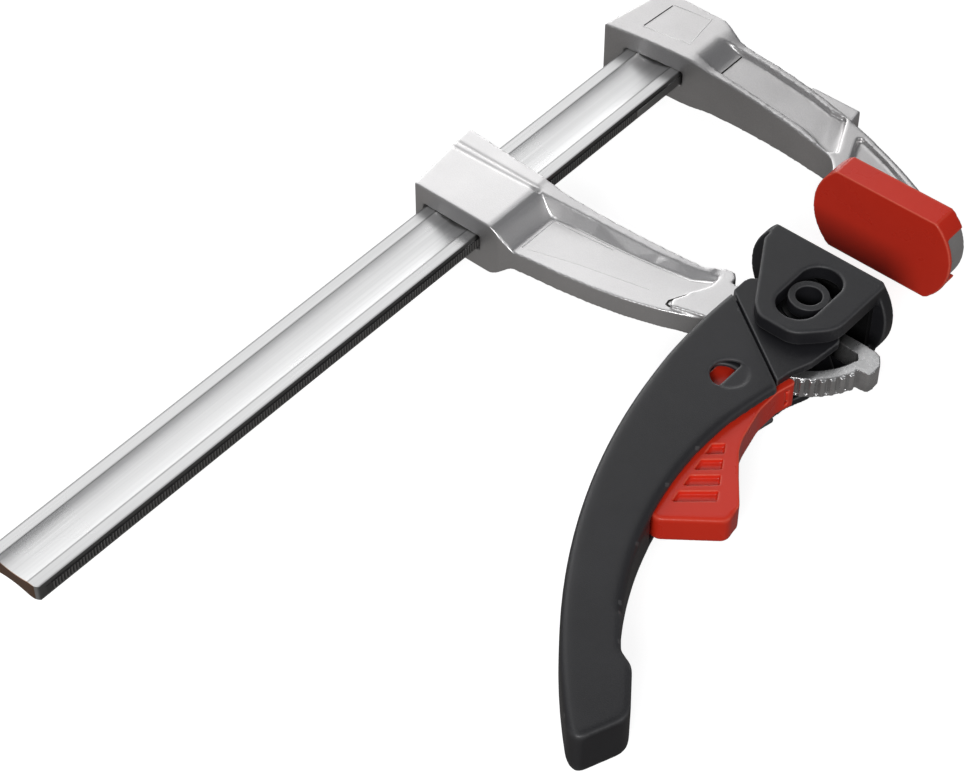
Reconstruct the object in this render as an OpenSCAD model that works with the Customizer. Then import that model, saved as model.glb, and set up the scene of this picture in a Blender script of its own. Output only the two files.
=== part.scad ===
// Quick release bar clamp with a ratcheting lever, lying on its side.
// Origin: centre of the fixed jaw's clamping face. X runs away from the rail,
// Y runs along the rail towards the fixed jaw, Z is square to the clamp's plane.

/* [Rail] */
// Width of the rail across its toothed edges
rail_w = 20; // [16:0.5:22]
// Thickness of the rail
rail_t = 5; // [4:0.25:6]
// Length of rail from its free end to the fixed jaw's clamping face
rail_reach = 239; // [180:1:400]
// Width of the shallow channel in each wide face
channel_w = 9.5; // [7:0.5:11]
// Depth of the shallow channel
channel_depth = 0.7; // [0.3:0.1:1]
// Bevel along each long edge
rail_bevel = 0.8; // [0.4:0.1:1]
// Distance from one fine edge tooth to the next
serration_pitch = 1; // [0.8:0.1:2]
// Depth of the fine edge teeth
serration_depth = 0.45; // [0.2:0.05:0.6]
// Radius of the free end's corners
rail_corner = 3; // [1:0.5:5]

/* [Jaws] */
// Distance from the rail's centreline to the middle of the pads
throat = 92.4; // [88:0.2:120]
// Gap between the two pads in the stored pose
opening = 26; // [10:1:120]
// Width of the clamping pads along the throat
pad_w = 45.5; // [42:0.5:50]
// Height of the clamping pads
pad_h = 25; // [24:0.5:30]
// Radius of the pads' rounded ends
pad_end_r = 18.3; // [16:0.1:24]
// Half thickness of both castings where they hold the rail
boss_h = 8.9; // [8:0.1:10]
// Half thickness of both castings at their pad end
tip_h = 4.8; // [4.5:0.1:5.4]
// Depth of the fixed jaw behind its throat edge
jaw_depth = 16.8; // [14:0.2:20]
// Depth of the fixed jaw's end plate
plate_depth = 8; // [6:0.5:9]
// Running gap between the rail and the sliding arm, each side
rail_gap = 0.25; // [0.15:0.05:0.4]

/* [Jaw cap] */
// Wall of the soft jaw cap
cap_wall = 1.3; // [1:0.1:2]
// Depth of the jaw cap over the end plate
cap_depth = 8.4; // [6:0.2:10]
// Height of the window in each end of the jaw cap
cap_window = 18; // [12:1:20]

/* [Pressure cap] */
// Thickness of the pressure cap's face
face_t = 4; // [3:0.5:5]
// Thickness of the steel plate that the cam pushes
push_t = 2; // [1.5:0.5:3]
// Thickness of each cheek
cheek_t = 4.8; // [3:0.2:5]
// Width of the pressure cap's face
push_w = 44.4; // [40:0.2:50]
// Width of the guide slot
slot_w = 12; // [11.8:0.1:13]
// Length of the guide slot
slot_l = 22; // [18:0.5:23]

/* [Pivot and cam] */
// Offset of the lever's pivot from the middle of the pads
pivot_offset = 4.8; // [3:0.1:6]
// Radius of the cam that pushes the pressure cap
cam_r = 9.9; // [9.4:0.1:11]
// Offset of the cam's centre from the pivot
cam_throw = 5; // [3:0.1:5]
// Gap between the cam and the steel plate
cam_gap = 0.3; // [0.2:0.05:0.4]
// Outer radius of the pivot sleeve in its bearings
sleeve_r = 4.5; // [4.2:0.1:4.8]
// Radius of the sleeve's bore
sleeve_bore_r = 3.6; // [3:0.1:3.7]
// Outer radius of the sleeve's flanges
flange_r = 5.6; // [5.3:0.1:5.7]
// Running clearance of pins and bearings, on the radius
run = 0.05; // [0.02:0.01:0.1]

/* [Lever] */
// Radius of the lever's convex edge
convex_r = 177.8; // [165:0.2:190]
// Radius of the lever's concave edge
concave_r = 106.6; // [98:0.2:114]
// Half thickness of the lever
lever_h = 7.2; // [7:0.1:7.4]
// Rounding along the lever's outer edges
lever_round = 1.8; // [0.8:0.1:2.2]
// Wall of the hollow grip
grip_wall = 2.6; // [2:0.1:3.2]
// Thickness of each of the lever head's cheeks
head_cheek = 2.5; // [2.3:0.1:2.5]
// Thickness of the head's tongue inside the grip
tongue_t = 1.2; // [0.9:0.1:1.3]
// Width of the groove between the lever's head and its grip
seam = 0.6; // [0.3:0.1:1]
// Radius of the round hole in each side of the grip
peep_r = 5.2; // [4.4:0.1:5.6]

/* [Ratchet] */
// Radius over the sector's tooth tips
sector_r = 23.8; // [22.6:0.1:24.4]
// Depth of the sector's teeth
tooth_depth = 1.4; // [0.8:0.1:1.6]
// Angle from one tooth to the next
tooth_step = 6.7; // [5:0.1:7]
// Number of teeth on the sector
tooth_count = 9; // [7:1:9]
// Radial width of the sector's rim
rim_w = 3.8; // [3:0.1:5]
// Half thickness of the sector's toothed rim
rim_h = 3.4; // [2.6:0.1:3.4]
// Thickness of the smooth lip above and below the sector's teeth
lip = 0.5; // [0.3:0.1:0.8]
// Half thickness of the sector's hub
hub_h = 2; // [1.5:0.1:2.2]
// Clearance between the pawl's teeth and the sector's tooth tips
pawl_gap = 0.3; // [0.2:0.05:0.5]
// Half thickness of the pawl
pawl_h = 2.7; // [2:0.1:2.9]
// Radial height of the pawl
pawl_w = 3.8; // [3:0.1:4]

/* [Trigger] */
// Half thickness of the trigger
trigger_h = 4.2; // [3.8:0.1:4.3]
// Radius of the trigger's pin
trigger_pin_r = 1.5; // [1.2:0.1:2]
// Depth of the trigger's louvred pockets
louvre_depth = 1.4; // [0.8:0.1:1.8]
// Number of louvres in each pocket
louvre_count = 4; // [3:1:5]

/* [Hidden] */
$fn = 96;
eps = 0.02;

// ---- derived values ----
casting = [0.78, 0.78, 0.77];
steel = [0.62, 0.62, 0.63];
bright = [0.82, 0.83, 0.84];
black = [0.12, 0.12, 0.13];
red = [0.78, 0.16, 0.12];

boss_left = -17;
boss_right = 11.5;
ramp_end = 22;
boss_back = 38.3;
jaw_front = cap_wall + 0;
pivot_x = throat + pivot_offset;
pivot_y = -opening - face_t - push_t - cam_gap - cam_r;
throw_rest = face_t + push_t + cam_gap + cam_r;
cheek_in = pad_h / 2 - cheek_t;
head_in = lever_h - head_cheek;
arm_h = head_in - 0.3;
rail_end = boss_back - 0.8;
convex_c = [convex_r - 19.2, -17];
concave_c = [concave_r + 8.7, -53.3];
trigger_c = [0.8, -41.8];
peep_c = [-0.9, -33.2];
root_r = sector_r - tooth_depth;
first_tooth = -23.2;
last_tooth = first_tooth - tooth_count * tooth_step;
pawl_r = sector_r + pawl_gap;
pawl_from = -86;
pawl_to = -64;

// ---- outline helpers ----
function unit(v) = v / norm(v);
function flat(lists) = [for (l = lists) for (p = l) p];
function polar(c, r, a) = c + r * [cos(a), sin(a)];
function arc(c, r, from, to, steps) = [for (i = [0 : steps]) polar(c, r, from + (to - from) * i / steps)];
function xy(p) = [p[0], p[1]];
function angle_of(v) = atan2(v[1], v[0]);
function turn(d) = d > 180 ? d - 360 : d < -180 ? d + 360 : d;
// The points that round the corner b between a and c with radius b[2]
function corner(a, b, c, steps) =
  let (
    u = unit(xy(a) - xy(b)),
    v = unit(xy(c) - xy(b)),
    half = acos(max(-1, min(1, u * v))) / 2,
    centre = xy(b) + unit(u + v) * b[2] / sin(half),
    reach = b[2] / tan(half),
    from = angle_of(xy(b) + u * reach - centre),
    sweep = turn(angle_of(xy(b) + v * reach - centre) - from)
  )
  [for (i = [0 : steps]) polar(centre, b[2], from + sweep * i / steps)];
function round_at(p, r) = [p[0], p[1], r];
// A closed outline of [x, y, radius] corners
function rounded(p, steps = 6) = let (n = len(p)) flat([
  for (i = [0 : n - 1])
    len(p[i]) > 2 && p[i][2] > 0 ? corner(p[(i + n - 1) % n], p[i], p[(i + 1) % n], steps) : [xy(p[i])]
]);
// Height of a smooth ramp from a to b as t goes from 0 to 1
function ease(a, b, t) = a + (b - a) * (1 - cos(180 * t)) / 2;

// ---- solid helpers ----
module slab(h) linear_extrude(2 * h, center = true) children();
module slab_between(low, high) translate([0, 0, low]) linear_extrude(high - low) children();
module both_sides() {
  children();
  mirror([0, 0, 1]) children();
}
// An outline whose points are [x, z], made a wall from y = from to y = to
module wall_y(from, to) translate([0, to, 0]) rotate([90, 0, 0]) linear_extrude(to - from) children();
module at_pivot() translate([pivot_x, pivot_y, 0]) children();
module at_jaw_face() translate([-throat, 0, 0]) children();

// ---- rail ----
module rail_section() {
  e = rail_w / 2 - serration_depth - 0.1;
  b = rail_w / 2 - rail_bevel;
  c = channel_w / 2;
  t = rail_t / 2;
  polygon([
    [-b, -t], [-c - 1, -t], [-c, -t + channel_depth * 0.55], [0, -t + channel_depth],
    [c, -t + channel_depth * 0.55], [c + 1, -t], [b, -t], [e, -t + rail_bevel],
    [e, t - rail_bevel], [b, t], [c + 1, t], [c, t - channel_depth * 0.55], [0, t - channel_depth],
    [-c, t - channel_depth * 0.55], [-c - 1, t], [-b, t], [-e, t - rail_bevel], [-e, -t + rail_bevel],
  ]);
}
// One toothed edge, as points from the free end to the jaw
function serrated(side) = let (
    w = rail_w / 2,
    n = floor((rail_reach - 3 * rail_corner) / serration_pitch)
  )
  [for (i = [0 : n])
    for (tip = [0, 1])
      [side * (w - (1 - tip) * serration_depth), -rail_reach + 1.5 * rail_corner + (i + tip / 2) * serration_pitch]];
function reversed(p) = [for (i = [len(p) - 1 : -1 : 0]) p[i]];
module rail_outline() {
  w = rail_w / 2 - serration_depth;
  polygon(concat(
    corner([-w, 0], [-w, -rail_reach, rail_corner], [w, -rail_reach], 6),
    corner([-w, -rail_reach], [w, -rail_reach, rail_corner], [w, 0], 6),
    serrated(1),
    [[w, rail_end], [-w, rail_end]],
    reversed(serrated(-1))
  ));
}
module rail() color(bright) difference() {
  rail_body();
  dowel_holes(eps);
}
module rail_body() {
  intersection() {
    wall_y(-rail_reach, rail_end) rail_section();
    slab(rail_t) polygon(rounded([
      [-rail_w, rail_end, 0], [-rail_w / 2, -rail_reach, rail_corner],
      [rail_w / 2, -rail_reach, rail_corner], [rail_w, rail_end, 0],
    ]));
  }
  slab(rail_t / 2 - rail_bevel - 0.4) rail_outline();
}

// ---- fixed jaw ----
throat_r = 223;
throat_top = 17;
throat_c = [21.7, throat_top - throat_r];
back_r = 155;
back_start = 24;
back_y = throat_top + jaw_depth;
back_c = [back_start, back_y - back_r];
jaw_end = throat + pad_w / 2 - cap_wall - 2.5;
function throat_edge(x) = throat_c[1] + sqrt(pow(throat_r, 2) - pow(x - throat_c[0], 2));
function back_edge(x) = x < back_start ? back_y : back_c[1] + sqrt(pow(back_r, 2) - pow(x - back_start, 2));
function steps_between(a, b, n) = [for (i = [0 : n]) a + (b - a) * i / n];
neck_x = throat - 24.8;
module jaw_outline() polygon(concat(
  [for (x = steps_between(boss_left, neck_x - 6, 16)) [x, throat_edge(x)]],
  arc([neck_x - 6, throat_edge(neck_x - 6) - 9], 9, 80, 12, 5),
  [[neck_x + 3, plate_depth * 0.6], [jaw_end, plate_depth * 0.6]],
  [for (x = steps_between(jaw_end, back_start, 18)) [x, back_edge(x)]],
  corner([back_start, back_y], [ramp_end - 4, back_y + 0.6, 3], [boss_right, boss_back], 3),
  [[boss_right - 2, boss_back], [boss_left + 4, boss_back]]
));
// Half thickness of the jaw's flanges at x, and of its recessed web
function flange_z(x) = x < boss_right ? boss_h :
  x < ramp_end ? ease(boss_h, boss_h - 1.4, (x - boss_right) / (ramp_end - boss_right)) :
  max(tip_h, boss_h - 1.4 - (x - ramp_end) * 0.058);
function web_z(x) = x < boss_right ? boss_h :
  x < ramp_end ? ease(boss_h, boss_h - 3.2, (x - boss_right) / (ramp_end - boss_right)) :
  max(tip_h - 1.4, boss_h - 3.2 - (x - ramp_end) * 0.05);
module side_profile(x, z) polygon(concat(
  [for (i = [0 : len(x) - 1]) [x[i], z[i]]],
  [for (i = [len(x) - 1 : -1 : 0]) [x[i], -z[i]]]
));
function stations(end) = concat(
  [boss_left - 1, boss_right], [for (t = steps_between(boss_right + 1, ramp_end, 8)) t],
  steps_between(ramp_end + 8, end, 5)
);
module jaw_flanges() {
  difference() {
    jaw_outline();
    // main pocket
    polygon(rounded([
      [boss_right, throat_edge(boss_right) + 3.6, 0], [neck_x - 14, throat_edge(neck_x - 14) + 2.6, 0],
      [neck_x - 1.5, throat_edge(neck_x - 1.5) + 0.8, 1], [neck_x - 8.5, back_edge(neck_x - 8.5) - 2.2, 1.2],
      [neck_x - 20, back_edge(neck_x - 20) - 2.2, 0], [back_start + 4, back_y - 2.4, 0],
      [boss_right, back_y - 2.6, 0],
    ]));
    // second, triangular pocket
    polygon(rounded([
      [neck_x - 0.8, back_edge(neck_x - 0.8) - 2.2, 1], [neck_x + 5.5, plate_depth + 2.2, 0.8],
      [neck_x + 33, plate_depth + 2.2, 1], [neck_x + 26, back_edge(neck_x + 26) - 2.2, 0],
      [neck_x + 12, back_edge(neck_x + 12) - 2.2, 0],
    ]));
  }
}
module pad_outline(grow, height, width = pad_w) {
  w = width / 2 + grow;
  r = pad_end_r + grow;
  intersection() {
    square([2 * w, height], center = true);
    union() {
      for (s = [-1, 1]) translate([s * (w - r), 0]) circle(r);
      square([2 * (w - r), 2 * r], center = true);
    }
  }
}
module pad_wall(from, to, grow, height) translate([throat, 0, 0]) wall_y(from, to) pad_outline(grow, height);
module fixed_jaw() color(casting) difference() {
  union() {
    intersection() {
      slab(boss_h + 1) jaw_outline();
      wall_y(0, boss_back + 1) side_profile(stations(jaw_end), [for (x = stations(jaw_end)) web_z(x)]);
    }
    intersection() {
      slab(boss_h + 1) jaw_flanges();
      wall_y(0, boss_back + 1) side_profile(stations(jaw_end), [for (x = stations(jaw_end)) flange_z(x)]);
    }
    // hooked lug on the back edge
    slab(tip_h - 1) polygon([
      [back_start + 14, back_y - 3], [back_start + 20, back_y + 1.6],
      [neck_x - 7, back_y + 1.7], [neck_x - 5.6, back_edge(neck_x - 5.6) - 2],
    ]);
    pad_wall(cap_wall, cap_wall + plate_depth, -cap_wall, pad_h);
  }
  // passage for the rail, a press fit
  wall_y(0, boss_back + 1) square([rail_w + 0.1, rail_t + 0.1], center = true);
  // crossed grooves in the clamping face
  translate([throat, cap_wall, 0]) rotate([0, 0, 45]) cube([4, 4, pad_h + 2], center = true);
  translate([throat, cap_wall, 0]) rotate([45, 0, 0]) cube([pad_w + 2, 4, 4], center = true);
  dowel_holes(eps);
}
dowel_y = 0.5 * (throat_top + boss_back);
dowel_r = 1.5;
module dowel_holes(gap) for (s = [-1, 1])
  translate([s * rail_w * 0.25, dowel_y + s * 4, 0]) cylinder(h = 2 * boss_h - 5, r = dowel_r + gap, center = true);
module jaw_dowels() color(steel) dowel_holes(0);

module jaw_cap() color(red) difference() {
  pad_wall(0, cap_depth, 0, pad_h + 2 * cap_wall);
  pad_wall(cap_wall, cap_depth + 1, -cap_wall + eps, pad_h + 2 * eps);
  // the windows that let the cap snap over the end plate
  translate([throat, cap_wall + cap_depth / 2, 0])
    cube([pad_w + 10, cap_depth, cap_window], center = true);
  pad_relief();
}
// The cap's back edge is cut away round the jaw behind the end plate
module pad_relief() translate([throat, cap_depth, 0]) cube([pad_w - 12, eps, 2 * tip_h], center = true);

// ---- sliding arm ----
arm_top = -7.6;
arm_foot = -32.8;
head_r = 9.2;
panel_h = 3.3;
function arm_edge(x) = x < 20 ? arm_top - 0.4 * x / 20 : -8 + 3.1 * pow((x - 20) / 38, 1.7);
function ax(x) = x - pivot_x;
module arm_outline() polygon(concat(
  [[ax(boss_left + 3.6), arm_foot], [ax(17), arm_foot], [ax(20), arm_foot + 0.6]],
  [[ax(27), arm_foot + 1.6], [ax(36), arm_foot + 2.6], [ax(46), arm_foot + 4.2], [ax(56), arm_foot + 6.4]],
  [[ax(66), arm_foot + 9.6], [ax(78), arm_foot + 14.6], [-6, -11]],
  arc([0, 0], head_r, -110, 46, 14),
  [[-5, 6.6], [-16, -2.6], [ax(75), -3.4]],
  [[ax(75), -1.6], [ax(73.4), 0.2], [ax(70.6), 0]],
  [for (x = steps_between(66, 20, 9)) [ax(x), arm_edge(x)]],
  [[ax(boss_left), arm_top + 2.2]]
));
module arm_side(z) polygon(concat(
  [for (i = [0 : len(z) - 1]) z[i]],
  [for (i = [len(z) - 1 : -1 : 0]) [z[i][0], -z[i][1]]]
));
module sliding_arm() color(casting) at_pivot() difference() {
  union() {
    // web
    slab(panel_h) arm_outline();
    // housing round the rail, with a ramp down to the web
    intersection() {
      slab(boss_h + 1) arm_outline();
      wall_y(arm_foot - 2, 0) arm_side(concat(
        [[ax(boss_left - 1), boss_h], [ax(boss_right + 1.5), boss_h]],
        [for (t = [1 : 8]) [ax(boss_right + 1.5 + (ramp_end - boss_right) * t / 8), ease(boss_h, panel_h - 0.6, t / 8)]]
      ));
    }
    // flange along the throat side
    intersection() {
      slab(boss_h + 1) arm_outline();
      wall_y(arm_foot, 2) arm_side([
        [ax(boss_left), boss_h], [ax(boss_right), boss_h], [ax(30), boss_h - 1.6],
        [ax(62), tip_h + 0.4], [ax(68), tip_h], [ax(69.5), arm_h], [ax(75), arm_h],
      ]);
      translate([ax(boss_left), 0, 0]) rotate([90, 0, 90]) linear_extrude(75 - boss_left) arm_side([
        [-16.4, panel_h - 0.4], [-14.6, panel_h + 0.4], [-12.6, boss_h - 1], [-11.6, boss_h + 1], [2, boss_h + 1],
      ]);
    }
    // plateau and head that the lever straddles
    intersection() {
      slab(arm_h) arm_outline();
      slab(boss_h) polygon([
        [ax(75), -3.2], [ax(72.6), -6.4], [ax(66.6), -18.6], [ax(67.6), -21], [ax(77), -18.4], [20, -18.4], [20, 20],
        [ax(75), 20],
      ]);
    }
  }
  // passage for the rail
  translate([-pivot_x, 0, 0]) wall_y(arm_foot - 4, 4)
    square([rail_w + 2 * rail_gap, rail_t + 2 * rail_gap], center = true);
  // fork for the sector
  slab(hub_h + 0.05) polygon([[-17, -9.6], [30, -60], [30, 30], [-17, 12]]);
  cylinder(h = 4 * arm_h, r = sleeve_r + eps, center = true);
  rivet_shanks(eps);
  grip_pin_pair(eps);
  // groove under the throat flange, on the housing
  both_sides() translate([ax(boss_left + 0.6), arm_top - 4.6, boss_h - 0.5]) cube([33, 0.9, 2]);
}
module rivet_shanks(gap) for (p = [[-13.6, -6.6], [-13, -0.6]])
  translate([p[0], p[1], 0]) cylinder(h = 2 * arm_h, r = 1.5 + gap, center = true);
module sector_rivets() color(steel) at_pivot() rivet_shanks(0);
module grip_pin_pair(gap) for (s = [-1, 1])
  translate([-pivot_x + s * (rail_w / 2 + rail_gap - 0.1 + 1.5), 0.5 * (arm_top + arm_foot) + s * 9, 0])
    cylinder(h = boss_h, r = 1.5 + gap, center = true);
module grip_pins() color(steel) at_pivot() grip_pin_pair(0);

// ---- toothed sector ----
spoke_from = head_r + 0.3;
function tooth(i) = let (a = first_tooth - i * tooth_step) [
  polar([0, 0], root_r, a + 0.47 * tooth_step),
  polar([0, 0], sector_r - 0.15, a + 0.24 * tooth_step),
  polar([0, 0], sector_r, a + 0.14 * tooth_step),
  polar([0, 0], sector_r, a - 0.14 * tooth_step),
  polar([0, 0], sector_r - 0.15, a - 0.24 * tooth_step),
  polar([0, 0], root_r, a - 0.47 * tooth_step),
];
// The hook that stops the open lever, from the spoke round to the notch
hook = [
  [sector_r - 5.8, 1.5], [sector_r - 2, 1.2], [sector_r - 0.4, 0.6], [sector_r + 0.7, -0.8],
  polar([0, 0], sector_r + 1.7, -5), polar([0, 0], sector_r + 2.3, -11), polar([0, 0], sector_r + 2.3, -14.6),
  polar([0, 0], sector_r + 1.7, -16.2), polar([0, 0], root_r + 0.6, -18.6), polar([0, 0], root_r + 0.1, -19.6),
];
module rim(outer_teeth) polygon(concat(
  hook,
  outer_teeth ? flat([for (i = [0 : tooth_count - 1]) tooth(i)]) :
    arc([0, 0], sector_r - 0.7, first_tooth + 0.5 * tooth_step, last_tooth, 18),
  arc([0, 0], root_r, last_tooth, last_tooth - 2, 2),
  arc([0, 0], sector_r - rim_w, last_tooth - 2, -16, 18),
  [[sector_r - rim_w - 0.3, -4.4], [sector_r - rim_w - 1.6, -2.6], [spoke_from, -1.8], [spoke_from, 1.5]]
));
module toothed_sector() color(steel) at_pivot() {
  // toothed rim and top spoke, with a narrow smooth lip above and below the teeth
  slab(rim_h - lip) rim(true);
  both_sides() slab_between(rim_h - lip, rim_h) rim(false);
  // hub between the arm's fork, and the lower spoke
  difference() {
    slab(hub_h) union() {
      intersection() {
        circle(8.8);
        translate([-10, -10]) square([20, 16.4]);
      }
      polygon([[-16.4, -9], [-8, -9], [0, -8.8], [0, 4], [-5, 6], [-16.4, -3]]);
      translate([0, -1.8]) square([spoke_from + 1, 3.3]);
      polygon([[-6, -5], [4, -6], polar([0, 0], root_r - 0.6, last_tooth + 12), polar([0, 0], root_r - 0.6, last_tooth)]);
    }
    cylinder(h = 4 * arm_h, r = sleeve_r + eps, center = true);
    rivet_shanks(eps);
  }
}

// ---- pivot ----
washer_t = 0.4;
module pivot_sleeve() color(black) at_pivot() difference() {
  union() {
    cylinder(h = 2 * (cheek_in + 1), r = sleeve_r, center = true);
    both_sides() translate([0, 0, cheek_in]) cylinder(h = pad_h / 2 - 1.2 - cheek_in, r = flange_r);
  }
  cylinder(h = pad_h + 2, r = sleeve_bore_r, center = true);
}
module pivot_washers() color(steel) at_pivot() both_sides() difference() {
  translate([0, 0, lever_h + run]) cylinder(h = washer_t, r = flange_r + 1.4);
  cylinder(h = 4 * boss_h, r = sleeve_r + run, center = true);
}

// ---- pressure cap ----
face_front = throw_rest;
face_back = face_front - face_t;
pad_shift = -pivot_offset;
function cheek_points() = rounded([
  [pad_shift - push_w / 2 + 5.6, face_front - 0.6, 0.8], [pad_shift - push_w / 2 + 5.2, face_front - 6.6, 2.5],
  [-9, -12.2, 6], [-5.5, -15.3, 4], [5.5, -15.3, 7], [13.8, -6.6, 9], [14, face_front - 0.6, 0.8],
]);
module slot_outline(grow) union() {
  for (s = [-1, 1]) translate([0, s * (slot_l - slot_w) / 2]) circle(slot_w / 2 + grow);
  square([slot_w + 2 * grow, slot_l - slot_w], center = true);
}
module pressure_cap() color(black) at_pivot() {
  translate([pad_shift, 0, 0]) wall_y(face_back, face_front) pad_outline(0, pad_h, push_w);
  both_sides() slab_between(cheek_in, pad_h / 2) difference() {
    polygon(cheek_points());
    slot_outline(0);
  }
}
module pressure_plate() color(steel) at_pivot() translate([pad_shift, 0, 0])
  wall_y(face_back - push_t, face_back) square([push_w - 9, 2 * cheek_in - 0.2], center = true);

// ---- lever ----
seam_left = [-19, -8.3];
seam_right = [9.6, -27.8];
seam_way = unit(seam_right - seam_left);
seam_up = [-seam_way[1], seam_way[0]];
function convex_at(y) = convex_c[0] - sqrt(pow(convex_r, 2) - pow(y - convex_c[1], 2));
function concave_at(y) = concave_c[0] - sqrt(pow(concave_r, 2) - pow(y - concave_c[1], 2));
neck_y = -119.5;
neck = [concave_at(neck_y), neck_y];
// Where the seam's line meets the concave edge
seam_to_edge = let (m = seam_right - concave_c, b = m * seam_way)
  seam_right + seam_way * (-b - sqrt(b * b - m * m + concave_r * concave_r));
foot = [convex_at(-147.5), -147.5];
function lever_points() = concat(
  arc(convex_c, convex_r, angle_of(seam_left - convex_c), angle_of(foot - convex_c) + 360, 26),
  corner(foot - [2, -2.2], round_at(foot + [3.6, -2.6], 2.6), neck + [15.6, -16.1], 5),
  corner(foot + [3.6, -2.6], round_at(neck + [15.6, -16.1], 5), neck + [6.4, -3.8], 6),
  corner(neck + [15.6, -16.1], round_at(neck + [6.4, -3.8], 4.5), neck + [1.6, -2], 4),
  corner(neck + [6.4, -3.8], round_at(neck + [1.6, -2], 3), neck + [-0.6, 0.8], 4),
  arc(concave_c, concave_r, angle_of([concave_at(neck_y + 2), neck_y + 2] - concave_c) + 360,
    angle_of(seam_to_edge - concave_c), 20)
);
// The channel that holds the trigger; it opens to the concave side
channel_end = -88;
module grip_channel() intersection() {
  translate(convex_c) circle(convex_r - grip_wall, $fn = 240);
  polygon([[-40, 20], [-40, -40], [-12, channel_end - 2], [6, channel_end], [36, channel_end + 16], [36, 20]]);
}
module head_passage() polygon([[-30, 10], [-30, -36], [-12, -39], [30, -39], [30, 10]]);
module tongue_outline(grow) intersection() {
  translate(convex_c) circle(convex_r - grip_wall + grow, $fn = 240);
  polygon([
    seam_left + [2, -2] + grow * [-1, 0], [convex_at(-52) + grip_wall - 2, -53 - grow],
    [5 + grow, -53 - grow], [5 + grow, -26], seam_right + [-4 + grow, 4], seam_left + [10, 8],
  ]);
}
// Quarter circle that rounds an edge: how far in, and how high, at step i of 4
function round_in(i) = lever_round * (1 - sin(22.5 * i));
function round_up(i) = lever_h - lever_round * (1 - cos(22.5 * i));
module convex_rounding() translate(convex_c) rotate_extrude($fn = 240) polygon(concat(
  [[convex_r - 60, -lever_h], [convex_r - lever_round, -lever_h]],
  [for (i = [1 : 4]) [convex_r - round_in(i), -round_up(i)]],
  [for (i = [4 : -1 : 1]) [convex_r - round_in(i), round_up(i)]],
  [[convex_r - lever_round, lever_h], [convex_r - 60, lever_h]]
));
module concave_rounding() translate(concave_c) rotate_extrude($fn = 240) polygon(concat(
  [[concave_r - 30, -lever_h - 1], [concave_r + lever_round, -lever_h - 1]],
  [for (i = [0 : 4]) [concave_r + round_in(i), -round_up(i)]],
  [for (i = [4 : -1 : 0]) [concave_r + round_in(i), round_up(i)]],
  [[concave_r + lever_round, lever_h + 1], [concave_r - 30, lever_h + 1]]
));
module lever_grip() color(black) at_pivot() difference() {
  intersection() {
    slab(lever_h + 1) polygon(lever_points());
    convex_rounding();
  }
  intersection() {
    concave_rounding();
    slab(lever_h + 2) polygon([[-20, -26], [-20, -113], [60, -113], [60, -26]]);
  }
  slab(head_in) grip_channel();
  slab(head_in) head_passage();
  slab(head_in + tongue_t + 0.05) tongue_outline(0.1);
  difference() {
    translate([peep_c[0], peep_c[1], 0]) cylinder(h = 4 * lever_h, r = peep_r, center = true);
    // a thin tab that covers part of the hole
    both_sides() translate([peep_c[0] + peep_r, peep_c[1] - 1, lever_h - 1.2]) cylinder(h = 0.9, r = peep_r);
  }
}
module head_cheek_outline() {
  difference() {
    union() {
      translate([-cam_throw, 0]) circle(cam_r);
      circle(sleeve_r + 2.1);
      polygon(rounded([
        seam_left + seam_up * seam, seam_right + seam_up * seam, [10.6, -22.4, 8], [13, -16, 8],
        [14.2, -5, 2], [5, 3, 0], [-12, 3, 0], [-18.6, -1.5, 2.5],
      ]));
    }
    circle(sleeve_r + run);
  }
}
module lever_head() color(black) at_pivot() {
  both_sides() slab_between(head_in, lever_h) head_cheek_outline();
  difference() {
    union() {
      both_sides() slab_between(head_in, head_in + tongue_t) tongue_outline(0);
      slab(head_in + tongue_t) bridge_outline();
    }
    translate([peep_c[0] - 1.6, peep_c[1] - 1, 0]) cylinder(h = 4 * lever_h, r = peep_r - 0.6, center = true);
    translate([trigger_c[0], trigger_c[1], 0]) cylinder(h = 4 * lever_h, r = trigger_pin_r + eps, center = true);
    cylinder(h = 4 * lever_h, r = sleeve_r + run, center = true);
  }
}
// The web that joins the head's two cheeks inside the grip
module bridge_outline() intersection() {
  translate(convex_c) difference() {
    circle(convex_r - grip_wall - 0.05, $fn = 240);
    circle(convex_r - grip_wall - 2.6, $fn = 240);
  }
  translate([-40, -53]) square([40, 11]);
}
module trigger_pin() color(steel) at_pivot() translate([trigger_c[0], trigger_c[1], 0])
  cylinder(h = 2 * (head_in + tongue_t), r = trigger_pin_r, center = true);

// ---- trigger and pawl ----
function trigger_points() = rounded([
  [-7.4, -29, 2], [-6.6, -44, 4], [0.5, -54, 6], [3.4, -70, 20], [10, -81.4, 2.2], [13.4, -82.6, 2.2],
  [27.8, -71.4, 2.8], [26.6, -65.4, 3], [21, -58.2, 8], [14.2, -49, 20], [11.2, -36, 20],
  [11.1, -28, 10], [12.9, -21.2, 1.2], [8, -22.4, 1.2],
]);
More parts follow.
